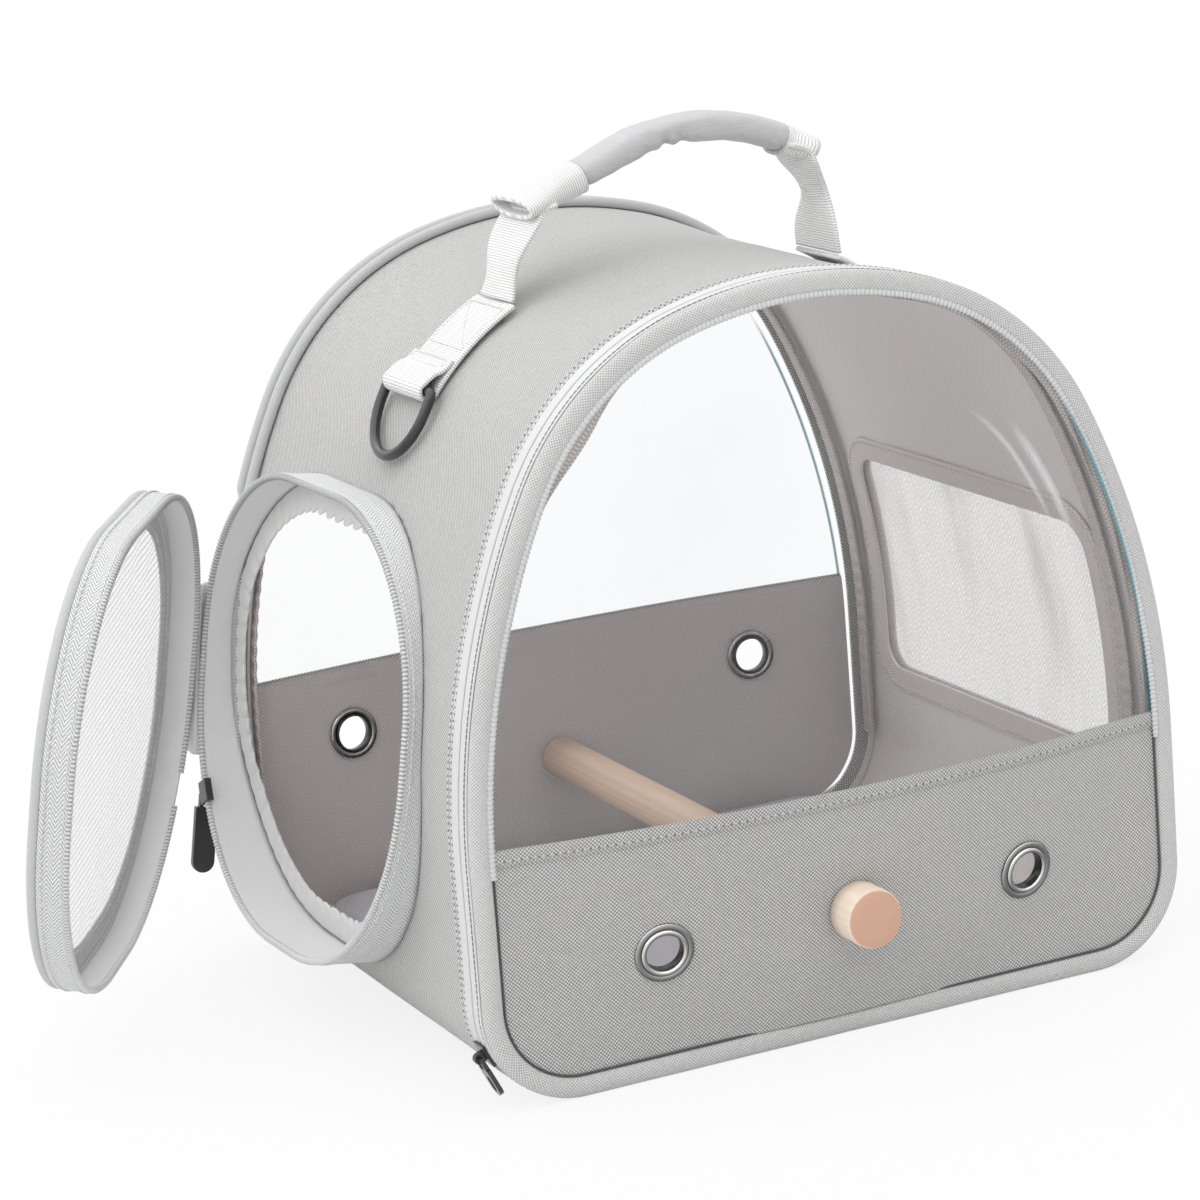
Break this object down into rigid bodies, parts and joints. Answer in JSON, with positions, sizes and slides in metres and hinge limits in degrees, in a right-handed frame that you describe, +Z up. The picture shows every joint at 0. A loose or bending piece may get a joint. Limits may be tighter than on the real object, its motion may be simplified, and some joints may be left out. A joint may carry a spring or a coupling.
{
  "type": "bird travel carrier",
  "caption": "Soft arched travel carrier for a small bird, with a fold-down clear front, a round mesh side door, a floor pad, a wooden perch and a padded handle.",
  "frame": {"origin": "centre of the base's underside", "axes": "+Z up, +X to the carrier's right seen from its front, front facing -Y"},
  "size_m": [0.4661, 0.3012, 0.3606],
  "materials": {
    "oxford": "grey basket-weave cloth",
    "tape": "pale woven zip tape",
    "webbing": "ribbed webbing",
    "mesh": "fine mesh",
    "lining": "grey lining cloth",
    "pad": "padded cloth",
    "coil": "zip coil",
    "piping": "soft piping",
    "clear": "flexible clear sheet",
    "eyelet": "dark nickel",
    "steel": "spring wire",
    "black": "black",
    "board": "stiff board",
    "wood": "pale turned wood"
  },
  "bodies": {
    "cabin": {"base_panel": "oxford", "left_wall": "oxford", "right_wall": "oxford", "roof_panel": "oxford", "side_mesh": "mesh", "side_mesh_binding": "oxford", "rear_gusset": "oxford", "rear_piping": "piping", "rear_cord": "piping", "rear_band": "lining", "rear_window": "clear", "front_zip_tape": "tape", "front_zip_coil_cabin": "coil", "front_hoop": "steel", "rear_hoop": "steel", "front_lining_sleeve": "lining", "rear_lining_sleeve": "lining", "rear_eyelets": "eyelet", "rear_eyelet_washers": "eyelet", "perch": "wood", "perch_screw": "steel", "perch_washer": "steel", "base_board": "board", "door_collar": "tape", "door_zip_coil_cabin": "coil", "door_ruffle": "tape", "door_hinge_cabin": "oxford", "handle_strap_left": "webbing", "handle_strap_right": "webbing", "handle_leg_left": "webbing", "handle_leg_right": "webbing"},
    "front_panel": {"front_band": "oxford", "front_window": "clear", "front_piping": "piping", "front_gusset": "tape", "front_zip_coil_panel": "coil", "front_eyelets": "eyelet", "front_eyelet_washers": "eyelet"},
    "knob": {"perch_knob": "wood", "perch_peg": "wood"},
    "side_door": {"door_gusset": "tape", "door_piping": "piping", "door_mesh": "mesh", "door_binding": "oxford", "door_zip_coil_panel": "coil", "door_hinge_panel": "oxford"},
    "handle": {"grip_sleeve": "oxford", "grip_webbing": "webbing"},
    "ring_left": {"d_ring_left": "black"},
    "ring_right": {"d_ring_right": "black"},
    "front_slider": {"front_zip_slider": "black"},
    "front_pull": {"front_zip_pull": "black"},
    "door_slider": {"door_zip_slider": "black"},
    "door_pull": {"door_zip_pull": "black"},
    "mat": {"floor_mat": "pad"}
  },
  "joints": [
    {"name": "front_panel_fold", "type": "hinge", "parent": "cabin", "child": "front_panel", "pos_m": [0, -0.1315, 0.003], "axis": [1, 0, 0], "range_deg": [0, 59]},
    {"name": "knob_turn", "type": "hinge", "parent": "front_panel", "child": "knob", "pos_m": [0, -0.15, 0.054], "axis": [0, -1, 0], "continuous": true},
    {"name": "side_door_swing", "type": "hinge", "parent": "cabin", "child": "side_door", "pos_m": [-0.17175, 0.12694, 0.1281], "axis": [-0.0523, 0, 0.9986], "range_deg": [-70, 35]},
    {"name": "handle_press", "type": "slide", "parent": "cabin", "child": "handle", "axis": [0, 0, 1], "range_m": [-0.022, 0], "deforming": ["handle_leg_left", "handle_leg_right"]},
    {"name": "ring_left_swing", "type": "hinge", "parent": "cabin", "child": "ring_left", "pos_m": [-0.11492, -0.006, 0.26365], "axis": [0, 1, 0], "range_deg": [0, 150]},
    {"name": "ring_right_swing", "type": "hinge", "parent": "cabin", "child": "ring_right", "pos_m": [0.11492, -0.006, 0.26365], "axis": [0, -1, 0], "range_deg": [0, 150]},
    {"name": "front_slider_run", "type": "hinge", "parent": "cabin", "child": "front_slider", "pos_m": [-0.1175, -0.1216, 0.0405], "axis": [0, 1, 0], "range_deg": [0, 22]},
    {"name": "front_pull_swing", "type": "hinge", "parent": "front_slider", "child": "front_pull", "pos_m": [-0.15723, -0.1216, 0.02112], "axis": [0, 1, 0], "range_deg": [-6, 150]},
    {"name": "door_slider_run", "type": "hinge", "parent": "cabin", "child": "door_slider", "pos_m": [-0.16953, 0.03246, 0.12465], "axis": [-0.9856, -0.0293, 0.1667], "range_deg": [0, 30]},
    {"name": "door_pull_swing", "type": "hinge", "parent": "door_slider", "child": "door_pull", "pos_m": [-0.17657, 0.11598, 0.07429], "axis": [-0.9856, -0.0293, 0.1667], "range_deg": [-75, 34]},
    {"name": "mat_lift", "type": "slide", "parent": "cabin", "child": "mat", "axis": [0, 0, 1], "range_m": [0, 0.025]}
  ]
}
